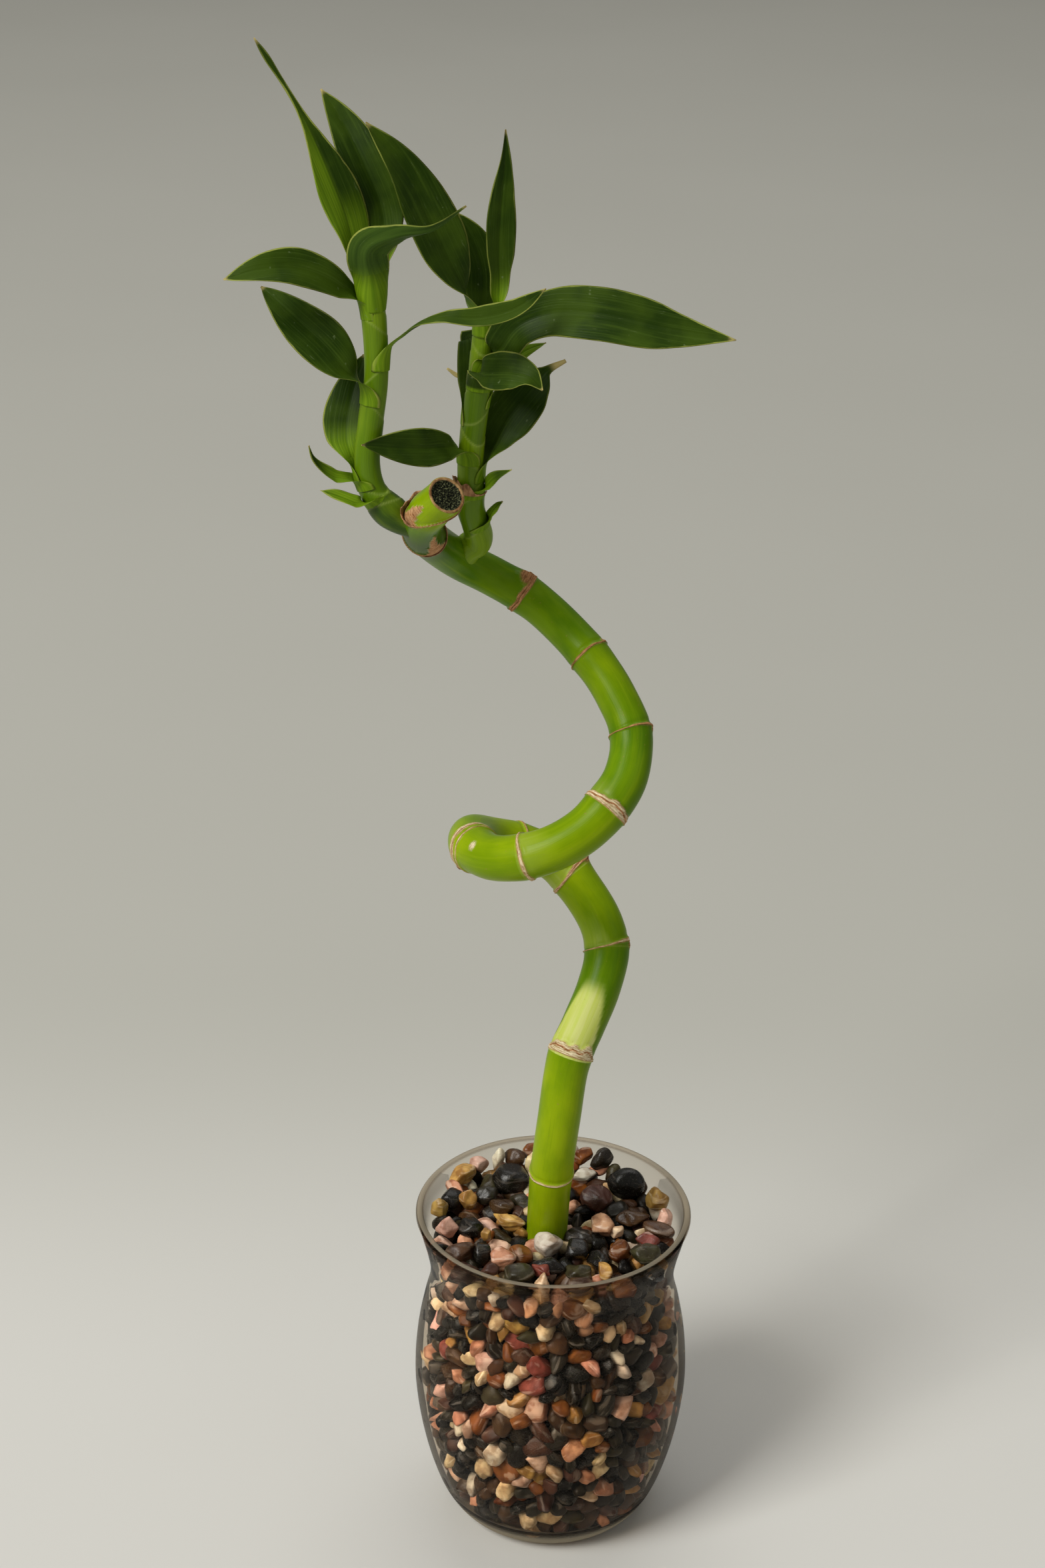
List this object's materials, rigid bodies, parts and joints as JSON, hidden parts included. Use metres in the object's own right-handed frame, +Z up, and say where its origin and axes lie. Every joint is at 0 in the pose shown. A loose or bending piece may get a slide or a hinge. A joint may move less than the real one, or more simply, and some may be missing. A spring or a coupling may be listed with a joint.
{
  "type": "lucky bamboo",
  "caption": "Spiral lucky bamboo cane with leafy side shoots, standing in a flared clear glass vase filled with mixed gravel.",
  "frame": {"origin": "centre of the vase's foot, on the surface it stands on", "axes": "+Z up along the vase's axis, +X to the right and +Y away from a viewer who faces the plant"},
  "size_m": [0.1417, 0.0912, 0.4948],
  "materials": {
    "vase_glass": "clear polished glass",
    "gravel": "mixed polished gravel",
    "dark_stone": "polished near-black pebble",
    "warm_stone": "polished tan, salmon and brown pebble",
    "pale_stone": "smooth cream pebble",
    "cane_skin": "smooth glossy yellow-green cane with tan rings",
    "shoot_skin": "satin green leaf sheaths",
    "leaf_blade": "waxy dark green blade with a thin yellow-green margin"
  },
  "bodies": {
    "root": {"glass_vase": "vase_glass", "gravel_bed": "gravel", "stone_outer_01": "pale_stone", "stone_outer_02": "dark_stone", "stone_outer_03": "warm_stone", "stone_outer_04": "dark_stone", "stone_outer_05": "warm_stone", "stone_outer_06": "warm_stone", "stone_outer_07": "warm_stone", "stone_outer_08": "dark_stone", "stone_outer_09": "pale_stone", "stone_outer_10": "dark_stone", "stone_outer_11": "warm_stone", "stone_outer_12": "dark_stone", "stone_outer_13": "warm_stone", "stone_outer_14": "warm_stone", "stone_outer_15": "warm_stone", "stone_inner_01": "dark_stone", "stone_inner_02": "warm_stone", "stone_inner_03": "dark_stone", "stone_inner_04": "warm_stone", "stone_inner_05": "warm_stone", "stone_inner_06": "warm_stone", "stone_inner_07": "dark_stone", "stone_inner_08": "pale_stone", "stone_inner_09": "dark_stone", "stone_inner_10": "warm_stone", "stone_core_01": "warm_stone", "stone_core_02": "dark_stone", "stone_core_03": "warm_stone", "stone_core_04": "warm_stone", "stone_core_05": "warm_stone", "stalk": "cane_skin", "left_shoot": "shoot_skin", "left_leaf_tall": "leaf_blade", "left_leaf_back": "leaf_blade", "left_leaf_funnel": "leaf_blade", "left_leaf_far": "leaf_blade", "left_leaf_low": "leaf_blade", "left_leaf_behind": "leaf_blade", "left_bract_upper": "leaf_blade", "left_bract_lower": "leaf_blade", "left_leaf_crossing": "leaf_blade", "right_shoot": "shoot_skin", "right_leaf_upright": "leaf_blade", "right_leaf_leaning": "leaf_blade", "right_leaf_back": "leaf_blade", "right_leaf_big": "leaf_blade", "right_leaf_curled": "leaf_blade", "right_leaf_dry_tip": "leaf_blade", "right_leaf_broad": "leaf_blade", "right_leaf_narrow": "leaf_blade", "right_leaf_crossing": "leaf_blade", "right_bract_upper": "leaf_blade", "right_bract_lower": "leaf_blade"}
  },
  "joints": []
}
